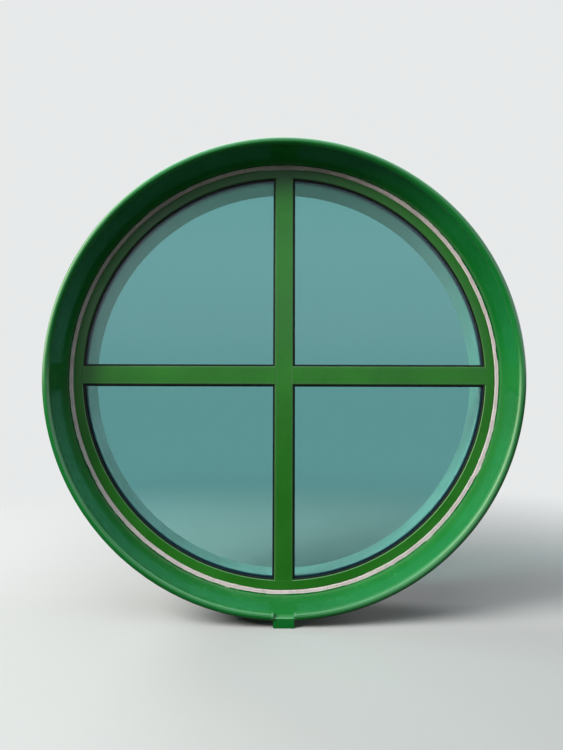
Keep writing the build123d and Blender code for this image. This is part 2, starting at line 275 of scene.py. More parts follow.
# %% [markdown]
# ## Coped ends
# The ends of a bar are coped: cut to the circle of the ring. A boolean would cut them, but it
# leaves ragged edges that shade badly. We extrude the outline from station to station instead,
# and each station says where the points go. A second row just before an end lets us sink the
# very edge a little, and that makes the hairline joint that paint never quite fills.

# %% Stations along a bar
joint_groove = 0.0009
joint_drop = 0.0004


def coped(sign, back_off=0.0, sunk=0.0):
    """A station that follows the circle at a bar's end, a little before it if backed off."""
    def place(across, forward):
        deep = forward < lip_back or (forward == lip_back and abs(across) <= bar_wall_half)
        end = wall_radius - hairline if deep else bar_end_radius - back_off
        return sign * sqrt(end ** 2 - across ** 2), sunk, 0
    return place


def straight(along, sunk=0.0, squeezed=0.0):
    """A station square across the bar, which may squeeze it to a narrower half width."""
    def place(across, forward):
        return along, sunk, squeezed
    return place


print("A bar ends", round(coped(1)(0.0, face)[0], 4), "m from the window's middle")

# %% [markdown]
# ## One bar from its stations
# Each extrusion copies the last row of points, and afterwards the rows are moved to their
# stations. The two ends are filled last, and faces with many corners are cut into triangles, so
# that every exporter reads them the same way.

# %% Build one bar
def place_row(row, outline, station):
    """Moves a row of points to its station."""
    for vert, (across, forward) in zip(row, outline):
        along, sunk, squeezed = station(across, forward)
        vert.co.z = along
        vert.co.y = -(forward - (sunk if forward > lip_back else 0))
        if squeezed and abs(across) > squeezed:
            vert.co.x = squeezed if across > 0 else -squeezed


def make_bar(stations, turn=Matrix.Identity(4)):
    """Extrudes the outline of a bar through its stations, and turns the bar if asked."""
    bm = bmesh.new()
    outline = bar_outline()
    row = [bm.verts.new((across, -forward, 0)) for across, forward in outline]
    edges = [bm.edges.new((row[k], row[(k + 1) % len(row)])) for k in range(len(row))]
    rows = [row]
    while len(rows) < len(stations):
        grown = bmesh.ops.extrude_edge_only(bm, edges=edges)["geom"]
        edges = [item for item in grown if isinstance(item, bmesh.types.BMEdge)]
        edges = [edge for edge in edges if not any(vert in row for vert in edge.verts)]
        fresh = [item for item in grown if isinstance(item, bmesh.types.BMVert)]
        by_place = {(round(vert.co.x, 6), round(vert.co.y, 6)): vert for vert in fresh}
        row = [by_place[(round(across, 6), round(-forward, 6))] for across, forward in outline]
        rows.append(row)
    for row, station in zip(rows, stations):
        place_row(row, outline, station)
    for row in (rows[0], rows[-1]):
        bmesh.ops.contextual_create(bm, geom=row)
    bmesh.ops.triangulate(bm, faces=[part for part in bm.faces if len(part.verts) > 4])
    bmesh.ops.transform(bm, matrix=turn, verts=bm.verts[:])
    return bm


def on_bar_bevel(axis):
    """The test for wear and painted highlight of a bar whose width lies along an axis, 0 for X or 2 for
    Z.
    """
    def wear_and_highlight_test(at, away):
        return abs(at[axis]) > clear - 0.0001 and -at.y > lip_back + 0.0005
    return wear_and_highlight_test


print("The flat front of a bar is", round(2 * clear * 1000), "mm wide")

# %% [markdown]
# ## The mullion
# The mullion runs through from top to bottom. Where the transoms meet it, its bevels are cut
# back to the flat front, and two pairs of stations at the same place make those square notches.

# %% The mullion runs through
bar_smooth = 15
notch = bar_half + hairline
mullion = make_bar(
    [
        coped(-1, sunk=joint_drop),
        coped(-1, back_off=joint_groove),
        straight(-notch),
        straight(-notch, squeezed=clear),
        straight(notch, squeezed=clear),
        straight(notch),
        coped(1, back_off=joint_groove),
        coped(1, sunk=joint_drop),
    ],
)
mark_wear_and_highlight(mullion, on_bar_bevel(0))
finish_piece(mullion, "mullion_outside", ["mullion_shell_outside"], bar_smooth)

# %% [markdown]
# ## The transoms
# A transom starts square in the mullion's notch and ends coped in the ring. It is built upright
# like the mullion and then turned a quarter about the window's axis, to the right or the left.

# %% The transoms butt against it
butt = clear + hairline
for side, sign in (("right", 1), ("left", -1)):
    transom = make_bar(
        [
            straight(butt, sunk=joint_drop),
            straight(butt + joint_groove),
            coped(1, back_off=joint_groove),
            coped(1, sunk=joint_drop),
        ],
        Matrix.Rotation(sign * pi / 2, 4, "Y"),
    )
    mark_wear_and_highlight(transom, on_bar_bevel(2))
    finish_piece(
        transom,
        "transom_" + side + "_outside",
        ["transom_" + side + "_shell_outside"],
        bar_smooth,
    )

# %% [markdown]
# ## The reveal
# The reveal is thin sheet, rolled to a cone. Its section is a slim slanted strip whose visible
# face runs from the joint to the rim tube, and a spin makes the cone from it.

# %% The conical reveal
cone_end = tube_forward - (tube_radius + hairline) / slope_length


def cone_radius(forward):
    return joint_radius + (forward - face) * slope


def behind_sheet(forward):
    """The point straight behind the visible face, through the sheet."""
    return (cone_radius(forward) + sheet / slope_length, forward - sheet * slope / slope_length)


cone = section(
    [
        (joint_radius, face),
        (cone_radius(cone_end), cone_end),
        behind_sheet(cone_end),
        (joint_radius + sheet * slope_length, face),
    ],
)
spin_round(cone)
finish_piece(cone, "conical_reveal", ["reveal_cone"])

# %% [markdown]
# ## The rim tube
# A rolled tube gives the thin edge its stiffness and its soft bright line. Its section is a
# plain circle. The ring is made 0.2 mm small, because the CAD tube's mesh has flat facets and
# its box is that much smaller than the true circle.

# %% Roll the tube
inside_cad = 0.0002
tube_segments = 40
tube = bmesh.new()
bmesh.ops.create_circle(tube, cap_ends=False, radius=tube_radius, segments=tube_segments)
bmesh.ops.translate(tube, verts=tube.verts[:], vec=(rim_radius - inside_cad, -tube_forward, 0))
spin_round(tube)
print("The full ring has", len(tube.faces), "faces")

# %% [markdown]
# ## The cut for the spout
# At the bottom the tube is cut through. We slice the finished ring with two planes, only in its
# low part, so that the top isn't cut as well. Deleting the points between the slices opens the
# gap, and the open ends are filled. The enamel is bare at the cut, and the cut ends also get a
# painted highlight; round the lower right the tube gets a painted highlight that fades off.

# %% Cut the tube
for sign in (-1, 1):
    low_part = [part for part in tube.faces if part.calc_center_median().z < -rim_radius / 2]
    low_geom = set(low_part)
    for part in low_part:
        low_geom.update(part.edges)
        low_geom.update(part.verts)
    bmesh.ops.bisect_plane(
        tube,
        geom=list(low_geom),
        plane_co=(sign * spout_half, 0, 0),
        plane_no=(1, 0, 0),
    )
on_cut = 0.00001
in_gap = [vert for vert in tube.verts if abs(vert.co.x) < spout_half - on_cut and vert.co.z < 0]
bmesh.ops.delete(tube, geom=in_gap, context="VERTS")
bmesh.ops.holes_fill(tube, edges=tube.edges[:], sides=0)
# A painted highlight on the tube, strongest at its lower right and falling off round the ring.
painted_highlight_most = 0.7
painted_highlight_falloff = 6


def tube_wear_and_highlight(at, away):
    """Painted highlight: full at the cut ends, where the metal is also bare, partial round the lower
    right.
    """
    if abs(abs(at.x) - spout_half) < 2 * on_cut and at.z < 0:
        return 1.0
    lower_right = (at.x - at.z) / (sqrt(2) * away)
    return painted_highlight_most * max(0.0, lower_right) ** painted_highlight_falloff


mark_wear_and_highlight(tube, tube_wear_and_highlight)
finish_piece(tube, "rim_tube_rolled", ["rim_tube"])

# %% [markdown]
# ## The drip spout
# A short piece of sheet carries the slope of the reveal through the gap in the tube, bends over
# and hangs down as an apron, so that water drips clear. The bend catches the light as a bright
# line, which is why it needs a real radius. We spin its section a few degrees to each side of
# the lowest point and trim the strip to width with two planes.

# %% The spout with its rounded bend
bend_forward = tube_forward + 0.010
bend_radius = cone_radius(bend_forward)
apron = 0.040 - inside_cad
spout_start = cone_end + hairline
spout = section(
    [
        (cone_radius(spout_start), spout_start),
        (bend_radius, bend_forward),
        (bend_radius + apron, bend_forward),
        (bend_radius + apron, bend_forward - sheet),
        (bend_radius + sheet, bend_forward - sheet),
        behind_sheet(spout_start),
    ],
    rounded=(1,),
    size=0.0037,
    segments=6,
)
half_turn = radians(3)
to_one_side = Matrix.Rotation(pi / 2 - half_turn, 3, "Y")
bmesh.ops.rotate(spout, verts=spout.verts[:], cent=(0, 0, 0), matrix=to_one_side)
bmesh.ops.spin(
    spout,
    geom=spout.verts[:] + spout.edges[:],
    cent=(0, 0, 0),
    axis=(0, 1, 0),
    angle=2 * half_turn,
    steps=12,
    use_duplicate=False,
)
for sign in (-1, 1):
    bmesh.ops.bisect_plane(
        spout,
        geom=spout.verts[:] + spout.edges[:] + spout.faces[:],
        plane_co=(sign * spout_half, 0, 0),
        plane_no=(sign, 0, 0),
        clear_outer=True,
    )
bmesh.ops.holes_fill(spout, edges=spout.edges[:], sides=0)
print("The spout is", round(2 * spout_half * 1000), "mm wide")

# %% [markdown]
# ## The discs on the tube's cut ends
# Each end of the tube is closed with a small welded disc. A disc is a flat cylinder whose two
# sharp rims get a narrow bevel, so that they pick up a highlight like ground-off weld.

# %% The discs
cap_thickness = 0.002
cap_level = -sqrt(rim_radius ** 2 - spout_half ** 2)
sharp_rim = 1.0
for sign in (-1, 1):
    middle = Matrix.Translation((sign * (spout_half - cap_thickness / 2), -tube_forward, cap_level))
    made = bmesh.ops.create_cone(
        spout,
        cap_ends=True,
        segments=tube_segments,
        radius1=tube_radius,
        radius2=tube_radius,
        depth=cap_thickness,
        matrix=middle @ Matrix.Rotation(pi / 2, 4, "Y"),
    )
    own_edges = [edge for edge in spout.edges if all(vert in made["verts"] for vert in edge.verts)]
    bmesh.ops.bevel(
        spout,
        geom=[edge for edge in own_edges if edge.calc_face_angle(0) > sharp_rim],
        offset=arris,
        offset_type="OFFSET",
        segments=2,
        profile=0.5,
        affect="EDGES",
        material=-1,
    )


# The bend gets a painted highlight along it, besides the light that its radius catches.
def on_bend(at, away):
    return abs(away - bend_radius) < 0.002 and -at.y > bend_forward - 0.004


mark_wear_and_highlight(spout, on_bend)
finish_piece(spout, "drip_spout_bent", ["drip_spout"])

# %% [markdown]
# ## The sealant bead
# A fitter smooths this joint with a wet finger or a spatula. We spin a strip of points across
# the joint, in steps fine enough to follow the unevenness of handwork, with a square back that
# stays plain because nobody sees it.

# %% Draw and spin the bead
bead_points = 9
bead_steps = 1080
joint_width = 0.020
bead_level = face + 0.0006
bead_back = face - 0.012
side_play = 0.0005
sealant = section(
    [(ring_radius + joint_width * k / (bead_points - 1), bead_level) for k in range(bead_points)]
    + [(joint_radius - side_play, bead_back), (ring_radius + side_play, bead_back)],
)
spin_round(sealant, bead_steps)
print("The bead has", len(sealant.verts), "points")

# %% [markdown]
# ## Handwork
# The edges of the bead wander, step where the gun stopped, and smear a little onto the paint.
# Noise alone looks like a coastline, so we add a few places where the bead is fatter or thinner
# over a stretch, as a hand leaves them.

# %% How the edges wander
step_angle = 0.7


def fat_places(angle, places):
    """Sum of soft-edged steps. A place is (from, to, amount) in degrees and metres."""
    total = 0.0
    for start, end, amount in places:
        rise = min(max((angle - start) / step_angle, 0), 1)
        fall = min(max((end - angle) / step_angle, 0), 1)
        total += amount * min(rise, fall)
    return total


def wander(around, waves):
    """Sum of noise waves. A wave is (fineness, place in the noise, height in metres)."""
    return sum(height * noise.noise(around * fine + Vector(place)) for fine, place, height in waves)


inner_places = [
    (17, 28, 0.0040), (28, 40, 0.0022), (84, 96, 0.0045), (252, 262, 0.0024), (292, 332, 0.0018),
    (342, 356, 0.0006), (44, 50, -0.0012), (144, 156, -0.0016), (332, 339, -0.0012),
]
outer_places = [
    (38, 52, 0.0008), (254, 259, 0.0010), (286, 322, 0.0012), (332, 348, 0.0014), (4, 8, -0.0030),
    (10, 34, -0.0014), (204, 210, -0.0014),
]
inner_waves = [(9, (0, 0, 3), 0.0014), (42, (0, 0, 8), 0.0014), (160, (0, 0, 21), 0.0008)]
outer_waves = [(8, (5, 0, 30), 0.0014), (37, (5, 0, 40), 0.0014), (150, (5, 0, 50), 0.0008)]
lump_waves = [(42, (0, 0, 8), 0.0005)]
print("The bead has", len(inner_places) + len(outer_places), "uneven stretches")

# %% [markdown]
# ## The tooled surface
# Now each front point moves: in or out between the two wandering edges, and forward onto what
# lies under it, the flat frame or the slanting reveal. A low crown gives the bead its soft
# sheen, and its outer side is drawn up the reveal a little, as the spatula leaves it.

# %% Tool the bead
inner_edge = 0.9236
outer_edge = 0.9396
crown_height = 0.0014
least_height = 0.0003
drawn_up = 0.014
drawn_from = 0.55
outermost = 0.99
for vert in sealant.verts:
    if -vert.co.y < face:
        continue
    away = sqrt(vert.co.x ** 2 + vert.co.z ** 2)
    angle = degrees(atan2(vert.co.z, vert.co.x)) % 360
    around = Vector((cos(radians(angle)), sin(radians(angle)), 0))
    across = (away - ring_radius) / joint_width
    inner = inner_edge - wander(around, inner_waves) - fat_places(angle, inner_places)
    outer = outer_edge + wander(around, outer_waves) + fat_places(angle, outer_places)
    new_away = inner + (outer - inner) * across
    under = face if new_away < joint_radius else face + (new_away - joint_radius) / slope
    crown = crown_height * (1 - (2 * across - 1) ** 4) + least_height
    drawn = drawn_up * max(0.0, across - drawn_from) ** 2 if across < outermost else 0
    lump = wander(around, lump_waves) * crown / crown_height
    vert.co.x *= new_away / away
    vert.co.z *= new_away / away
    vert.co.y = -(under + crown + drawn + lump)
finish_piece(sealant, "sealant_tooled", ["perimeter_sealant"], smooth_to=60)

# %% [markdown]
# ## A small kit for materials
# Materials could be built by dragging nodes. In code the same tree is a few lines once small
# helpers add a node and fill or link its sockets, whichever kind of value they are given.

# %% Helpers for node trees
def fill(made, inputs):
    """Sets a node's inputs, or links them where the value is another node's socket."""
    for place, value in inputs.items():
        if isinstance(value, bpy.types.NodeSocket):
            made.id_data.links.new(value, made.inputs[place])
        else:
            made.inputs[place].default_value = value


def add(tree, kind, inputs=None, **settings):
    """Adds a shader node, sets its options and fills its inputs."""
    made = tree.nodes.new("ShaderNode" + kind)
    for option, value in settings.items():
        setattr(made, option, value)
    fill(made, inputs or {})
    return made


def maths(tree, operation, first, second):
    return add(tree, "Math", {0: first, 1: second}, operation=operation).outputs[0]


def product(tree, first, second):
    return maths(tree, "MULTIPLY", first, second)


def mixed(tree, amount, first, second):
    """The colour between two others, as a socket."""
    return add(tree, "Mix", {0: amount, 6: first, 7: second}, data_type="RGBA").outputs[2]


def between(tree, value, low, high, to_low=0.0, to_high=1.0):
    """Maps a value's range smoothly to another one."""
    inputs = {0: value, 1: low, 2: high, 3: to_low, 4: to_high}
    return add(tree, "MapRange", inputs, interpolation_type="SMOOTHSTEP").outputs[0]


print("Helpers: fill, add, maths, product, mixed, between")

# %% [markdown]
# ## Shared effects
# What several finishes share, such as patches, rain streaks and lying dust, goes into shader
# node groups with named inputs. They put out masks only, and each material decides what the
# mask does. That keeps the weather the same all over the window.

# %% Make a group and place it
def new_group(name, inputs):
    """A shader node group that puts out one mask: its inner inputs and its output node."""
    group = bpy.data.node_groups.new(name, "ShaderNodeTree")
    for label, kind, value in inputs:
        made = group.interface.new_socket(label, in_out="INPUT", socket_type="NodeSocket" + kind)
        if value is not None:
            made.default_value = value
    group.interface.new_socket("Mask", in_out="OUTPUT", socket_type="NodeSocketFloat")
    print("Group:", name)
    return group, group.nodes.new("NodeGroupInput").outputs, group.nodes.new("NodeGroupOutput")


def use(tree, group, inputs):
    """Places a group in a material and returns its mask."""
    made = tree.nodes.new("ShaderNodeGroup")
    made.node_tree = group
    fill(made, inputs)
    return made.outputs["Mask"]


def clouds(tree, vector, size, detail, roughness):
    """Noise whose islands are about as wide as a size in metres."""
    scale = maths(tree, "DIVIDE", 1.0, size)
    inputs = {"Vector": vector, "Scale": scale, "Detail": detail, "Roughness": roughness}
    return add(tree, "TexNoise", inputs).outputs[0]


print("Helpers: new_group, use, clouds")

# %% [markdown]
# ## Patches
# No coat is one colour. Slow noise, cut softly between two levels, gives islands of another
# tone, from hand-sized clouds in the enamel down to specks.

# %% Patches: soft islands of another tone
patches, start, end = new_group(
    "patches",
    [("Vector", "Vector", None), ("Size", "Float", 0.1), ("From", "Float", 0.45), ("To", "Float", 0.65)],
)
islands = clouds(patches, start["Vector"], start["Size"], 5.0, 0.6)
fill(end, {"Mask": between(patches, islands, start["From"], start["To"])})

# %% [markdown]
# ## Rain streaks
# Rain takes dirt down over the paint in narrow runs. The same noise does it when its third
# direction is squeezed, because then each island is drawn out long down the window.

# %% Rain streaks: the same clouds, stretched down the window
streaks, start, end = new_group(
    "rain streaks",
    [("Vector", "Vector", None), ("Width", "Float", 0.01), ("From", "Float", 0.5), ("To", "Float", 0.7)],
)
squeeze = (1.0, 1.0, 0.07)
drawn_out = add(streaks, "VectorMath", {0: start["Vector"], 1: squeeze}, operation="MULTIPLY")
islands = clouds(streaks, drawn_out.outputs[0], start["Width"], 3.0, 0.55)
fill(end, {"Mask": between(streaks, islands, start["From"], start["To"])})

# %% [markdown]
# ## Lying dust
# Dust stays where a surface looks up. The Z of the surface's normal tells how far it does, and
# noise breaks the layer so that it doesn't read as a painted band.

# %% Lying dust: only where the surface looks up
tilts = [("Tilt from", "Float", 0.2), ("Tilt to", "Float", 0.9)]
dust, start, end = new_group(
    "lying dust",
    [("Vector", "Vector", None), ("Size", "Float", 0.05)] + tilts,
)
up = add(dust, "SeparateXYZ", {0: add(dust, "NewGeometry").outputs["Normal"]}).outputs["Z"]
tilt = between(dust, up, start["Tilt from"], start["Tilt to"])
islands = clouds(dust, start["Vector"], start["Size"], 6.0, 0.65)
fill(end, {"Mask": product(dust, tilt, between(dust, islands, 0.35, 0.7, 0.25, 1.0))})

# %% [markdown]
# ## An empty material
# Every finish starts from the same things: a tree, the Object coordinates that keep a pattern
# fixed to the window, and the Principled shader. It is built up as a painter works, one tone
# laid over another where a mask says so. Fine relief comes from a Bump node, because it is far
# too small to model.

# %% Start a material and give it layers
def new_material(name):
    """An empty material: its tree, its Object coordinates, its shader."""
    material = bpy.data.materials.new(name)
    material.use_nodes = True
    tree = material.node_tree
    shader = tree.nodes["Principled BSDF"]
    place = add(tree, "TexCoord").outputs["Object"]
    print("Finish:", name)
    return material, tree, place, shader


def laid(tree, colour, mask, share, tone):
    """A tone laid over a colour where a mask says so, with at most a share of it showing."""
    return mixed(tree, product(tree, mask, share), colour, tone)


def relief(tree, vector, scale, detail, strength, depth, after=None):
    """Noise as a bump: the normal that it gives, on top of another one if there is one."""
    height = add(tree, "TexNoise", {"Vector": vector, "Scale": scale, "Detail": detail}).outputs[0]
    inputs = {"Height": height, "Strength": strength, "Distance": depth}
    if after is not None:
        inputs["Normal"] = after
    return add(tree, "Bump", inputs).outputs[0]


print("Helpers: new_material, laid, relief")

# %% [markdown]
# ## Green enamel on the steel
# The reveal, the tube and the spout carry a glossy brush enamel. It mirrors the panes and the
# frame softly, because the sheet below is not quite even. Dust settles where it looks up, rain
# leaves streaks on the sides, and the wear attribute lays a pale green painted highlight on the
# spout's bend, on the tube's cut ends, where the metal is also bare, and on the tube's lower right.
# A thin Coat gives the clear gloss, and two bumps give the dents of the sheet and the brushed skin.

# %% The colour of the enamel
enamel, tree, place, shader = new_material("green enamel on steel")
tone = use(tree, patches, {"Vector": place, "Size": 0.35, "From": 0.35, "To": 0.7})
colour = mixed(tree, tone, (0.003, 0.135, 0.018, 1), (0.006, 0.165, 0.028, 1))
run = use(tree, streaks, {"Vector": place, "Width": 0.012, "From": 0.54, "To": 0.72})
colour = laid(tree, colour, run, 0.14, (0.045, 0.20, 0.085, 1))
settled = use(tree, dust, {"Vector": place, "Size": 0.09, "Tilt from": 0.35, "Tilt to": 1.1})
colour = laid(tree, colour, settled, 0.03, (0.16, 0.24, 0.15, 1))
worn_and_highlit = add(tree, "Attribute", attribute_name=wear_and_highlight_name).outputs["Fac"]
# A pale green painted highlight where the attribute says so.
colour = laid(tree, colour, worn_and_highlit, 0.35, (0.16, 0.42, 0.22, 1))

# %% The gloss of the enamel
dents = relief(tree, place, 7.0, 1.0, 0.35, 0.004)
gloss = {
    "Base Color": colour,
    "Roughness": between(tree, settled, 0.0, 1.0, 0.20, 0.30),
    "Specular IOR Level": 0.50,
    "Coat Weight": 0.30,
    "Coat Roughness": 0.06,
    "Normal": relief(tree, place, 420.0, 2.0, 0.10, 0.0004, dents),
}
fill(shader, gloss)
print("The enamel has", len(tree.nodes), "nodes")

# %% [markdown]
# ## Satin coat on the frame
# The bars and the ring are a shade yellower and less glossy than the reveal. Along each bevel
# the coat is thin and dusty and shows as a fine pale line, broken by small chips; the pale line
# is also a painted highlight of the light that the bevel catches.

# %% Satin green coat
coat, tree, place, shader = new_material("satin green coat")
tone = use(tree, patches, {"Vector": place, "Size": 0.22, "From": 0.35, "To": 0.7})
colour = mixed(tree, tone, (0.014, 0.132, 0.008, 1), (0.019, 0.153, 0.012, 1))
run = use(tree, streaks, {"Vector": place, "Width": 0.007, "From": 0.56, "To": 0.74})
colour = laid(tree, colour, run, 0.16, (0.04, 0.18, 0.04, 1))
specks = use(tree, patches, {"Vector": place, "Size": 0.004, "From": 0.66, "To": 0.74})
colour = laid(tree, colour, specks, 0.3, (0.10, 0.16, 0.08, 1))
settled = use(tree, dust, {"Vector": place, "Size": 0.02, "Tilt from": 0.3, "Tilt to": 1.0})
colour = laid(tree, colour, settled, 0.25, (0.16, 0.22, 0.14, 1))
# The pale line along the bevels: thin, dusty coat and a painted highlight.
worn_and_highlit = add(tree, "Attribute", attribute_name=wear_and_highlight_name).outputs["Fac"]
chips = use(tree, patches, {"Vector": place, "Size": 0.012, "From": 0.25, "To": 0.6})
worn_and_highlit = product(tree, worn_and_highlit, between(tree, chips, 0.0, 1.0, 0.55, 1.0))
colour = laid(tree, colour, worn_and_highlit, 0.24, (0.10, 0.14, 0.10, 1))
gloss = {
    "Base Color": colour,
    "Roughness": between(tree, tone, 0.0, 1.0, 0.30, 0.38),
    "Specular IOR Level": 0.45,
    "Normal": relief(tree, place, 600.0, 2.0, 0.12, 0.0003),
}
fill(shader, gloss)

# %% [markdown]
# ## Glass
# Each unit has two panes with a sun-control tint, so the window reads as pale teal. Real panes
# are toughened and slightly wavy: slow noise leans the normal by well under a degree, which
# bends the reflections without a trace of texture. A plain glass shader would also stop the
# lamps from lighting the lining behind it, so shadow rays pass through a tinted transparent
# shader instead. That is the usual way to keep window glass bright without caustics.

# %% Tinted glass that lets light through
glass, tree, place, shader = new_material("sun control glass")
wave = add(tree, "TexNoise", {"Vector": place, "Scale": 3.0, "Detail": 0.0}).outputs["Color"]
centred = add(tree, "VectorMath", {0: wave, 1: (0.5, 0.5, 0.5)}, operation="SUBTRACT").outputs[0]
lean = add(tree, "VectorMath", {0: centred, "Scale": 0.012}, operation="SCALE").outputs[0]
flat = add(tree, "NewGeometry").outputs["Normal"]
bent = add(tree, "VectorMath", {0: flat, 1: lean}, operation="ADD").outputs[0]
gloss = {
    "Base Color": (0.56, 0.79, 0.77, 1),
    "Roughness": 0.0,
    "IOR": 1.5,
    "Transmission Weight": 1.0,
    "Normal": add(tree, "VectorMath", {0: bent}, operation="NORMALIZE").outputs[0],
}
fill(shader, gloss)
clear_pass = add(tree, "BsdfTransparent", {"Color": (0.68, 0.86, 0.83, 1)}).outputs[0]
is_shadow = add(tree, "LightPath").outputs["Is Shadow Ray"]
choice = add(tree, "MixShader", {0: is_shadow, 1: shader.outputs[0], 2: clear_pass}).outputs[0]
fill(tree.nodes["Material Output"], {"Surface": choice})

# %% [markdown]
# ## Gasket rubber
# The gaskets are the dark line round every pane. They are black rubber with grey dust in it,
# duller where the dust lies.

# %% Gasket rubber
rubber, tree, place, shader = new_material("gasket rubber")
dusty = use(tree, patches, {"Vector": place, "Size": 0.02, "From": 0.35, "To": 0.75})
gloss = {
    "Base Color": laid(tree, (0.002, 0.0025, 0.0025, 1), dusty, 0.4, (0.016, 0.018, 0.017, 1)),
    "Roughness": between(tree, dusty, 0.0, 1.0, 0.45, 0.65),
    "Specular IOR Level": 0.25,
    "Normal": relief(tree, place, 900.0, 2.0, 0.15, 0.0002),
}
fill(shader, gloss)

# %% [markdown]
# ## The dark edge of the units
# Between the panes runs a dark blue spacer bar, and outside it the black seal that keeps the
# gas in. Both show as a thin line behind the gasket, and they differ only in tone and gloss.

# %% Spacer bar and edge seal
def edge_finish(name, size, tones, specular, rough):
    """A two-tone finish without relief, for what lies behind glass."""
    material, tree, place, shader = new_material(name)
    tone = use(tree, patches, {"Vector": place, "Size": size, "From": 0.3, "To": 0.7})
    gloss = {
        "Base Color": mixed(tree, tone, *tones),
        "Roughness": between(tree, tone, 0.0, 1.0, *rough),
        "Specular IOR Level": specular,
    }
    fill(shader, gloss)
    return material


spacer_tones = ((0.010, 0.028, 0.055, 1), (0.020, 0.045, 0.075, 1))
spacer = edge_finish("dark spacer bar", 0.05, spacer_tones, 0.3, (0.30, 0.45))
seal_tones = ((0.008, 0.014, 0.018, 1), (0.016, 0.022, 0.026, 1))
edge_seal = edge_finish("black edge seal", 0.02, seal_tones, 0.25, (0.5, 0.7))

# %% [markdown]
# ## Sealant
# The sealant is a dirty pinkish white, smooth from the fitter's finger, with small dark spots
# and grey runs where the rain takes dirt over it.

# %% Tooled sealant
putty, tree, place, shader = new_material("tooled sealant")
tone = use(tree, patches, {"Vector": place, "Size": 0.06, "From": 0.35, "To": 0.7})
colour = mixed(tree, tone, (0.66, 0.56, 0.58, 1), (0.55, 0.46, 0.48, 1))
dirt = use(tree, patches, {"Vector": place, "Size": 0.009, "From": 0.56, "To": 0.75})
colour = laid(tree, colour, dirt, 0.35, (0.20, 0.17, 0.15, 1))
run = use(tree, streaks, {"Vector": place, "Width": 0.006, "From": 0.55, "To": 0.7})
gloss = {
    "Base Color": laid(tree, colour, run, 0.3, (0.24, 0.23, 0.21, 1)),
    "Roughness": 0.62,
    "Normal": relief(tree, place, 130.0, 3.0, 0.35, 0.0008),
}
fill(shader, gloss)

# %% [markdown]
# ## The pale inside of the frame
# On the inside the frame and its beads have a pale satin coat. It is the green coat's recipe
# without streaks and chips, because no rain reaches it and only dust lies on the ledges.

# %% Pale coat on the inside
pale, tree, place, shader = new_material("pale satin coat")
tone = use(tree, patches, {"Vector": place, "Size": 0.18, "From": 0.35, "To": 0.7})
colour = mixed(tree, tone, (0.70, 0.72, 0.68, 1), (0.63, 0.66, 0.62, 1))
settled = use(tree, dust, {"Vector": place, "Size": 0.02, "Tilt from": 0.5, "Tilt to": 1.0})
gloss = {
    "Base Color": laid(tree, colour, settled, 0.3, (0.42, 0.41, 0.37, 1)),
    "Roughness": between(tree, tone, 0.0, 1.0, 0.32, 0.42),
    "Normal": relief(tree, place, 600.0, 2.0, 0.12, 0.0003),
}
fill(shader, gloss)

# %% [markdown]
# ## The lining
# The lining of the opening is board, painted with a brush on the side that shows. Its back is
# primed in grey, and that dark grey is also painted shade of the wall that the back lies against.
# On the back the normal points away from the window's axis, so one dot product tells the two
# sides apart and the CAD mesh can stay as it is. The brush marks are noise drawn out round the
# lining.

# %% Painted lining
lining, tree, place, shader = new_material("painted lining")
tone = use(tree, patches, {"Vector": place, "Size": 0.25, "From": 0.35, "To": 0.7})
colour = mixed(tree, tone, (0.70, 0.74, 0.69, 1), (0.62, 0.67, 0.62, 1))
scuffs = use(tree, patches, {"Vector": place, "Size": 0.015, "From": 0.62, "To": 0.78})
colour = laid(tree, colour, scuffs, 0.2, (0.40, 0.42, 0.38, 1))
# Dark grey on the back of the board: grey primer and painted shade.
normal = add(tree, "NewGeometry").outputs["Normal"]
outward = add(tree, "VectorMath", {0: place, 1: normal}, operation="DOT_PRODUCT").outputs["Value"]
brush = add(tree, "VectorMath", {0: place, 1: (1.0, 14.0, 1.0)}, operation="MULTIPLY").outputs[0]
gloss = {
    "Base Color": mixed(tree, between(tree, outward, 0.4, 0.6), colour, (0.27, 0.275, 0.265, 1)),
    "Roughness": between(tree, tone, 0.0, 1.0, 0.45, 0.6),
    "Normal": relief(tree, brush, 30.0, 3.0, 0.12, 0.0006),
}
fill(shader, gloss)

# %% [markdown]
# ## The hidden fixings
# The fixings are what a workshop would use: zinc screws, blue plastic packers, cast connectors,
# foam rod. They hardly show, but each still gets its own two tones, gloss and grain. One
# function makes them all, because they differ only in numbers.

# %% Plain finishes for the fixings
def plain_finish(name, tones, size, rough, metallic=0.0, grain_scale=300.0, grain_depth=0.0003):
    """A two-tone finish with a fine grain."""
    material, tree, place, shader = new_material(name)
    tone = use(tree, patches, {"Vector": place, "Size": size, "From": 0.35, "To": 0.7})
    gloss = {
        "Base Color": mixed(tree, tone, *tones),
        "Roughness": between(tree, tone, 0.0, 1.0, *rough),
        "Metallic": metallic,
        "Normal": relief(tree, place, grain_scale, 3.0, 0.25, grain_depth),
    }
    fill(shader, gloss)
    return material


strip_tones = ((0.018, 0.018, 0.019, 1), (0.03, 0.03, 0.03, 1))
strip = plain_finish("glass fibre strip", strip_tones, 0.01, (0.5, 0.65))
foam_tones = ((0.42, 0.42, 0.42, 1), (0.50, 0.50, 0.49, 1))
foam = plain_finish("foam rod", foam_tones, 0.004, (0.8, 0.95), 0.0, 500.0, 0.0008)
packer_tones = ((0.04, 0.10, 0.30, 1), (0.055, 0.125, 0.36, 1))
packer = plain_finish("packer plastic", packer_tones, 0.03, (0.4, 0.55))
casting_tones = ((0.52, 0.52, 0.53, 1), (0.62, 0.62, 0.63, 1))
casting = plain_finish("cast connector", casting_tones, 0.01, (0.4, 0.6), 1.0)
zinc_tones = ((0.58, 0.58, 0.56, 1), (0.72, 0.71, 0.66, 1))
zinc = plain_finish("zinc plating", zinc_tones, 0.004, (0.22, 0.4), 1.0)

# %% [markdown]
# ## Who wears what
# Each CAD node already names a slot, so the finishes can be handed out by slot. Our own pieces
# get the finish of the node that they stand for.

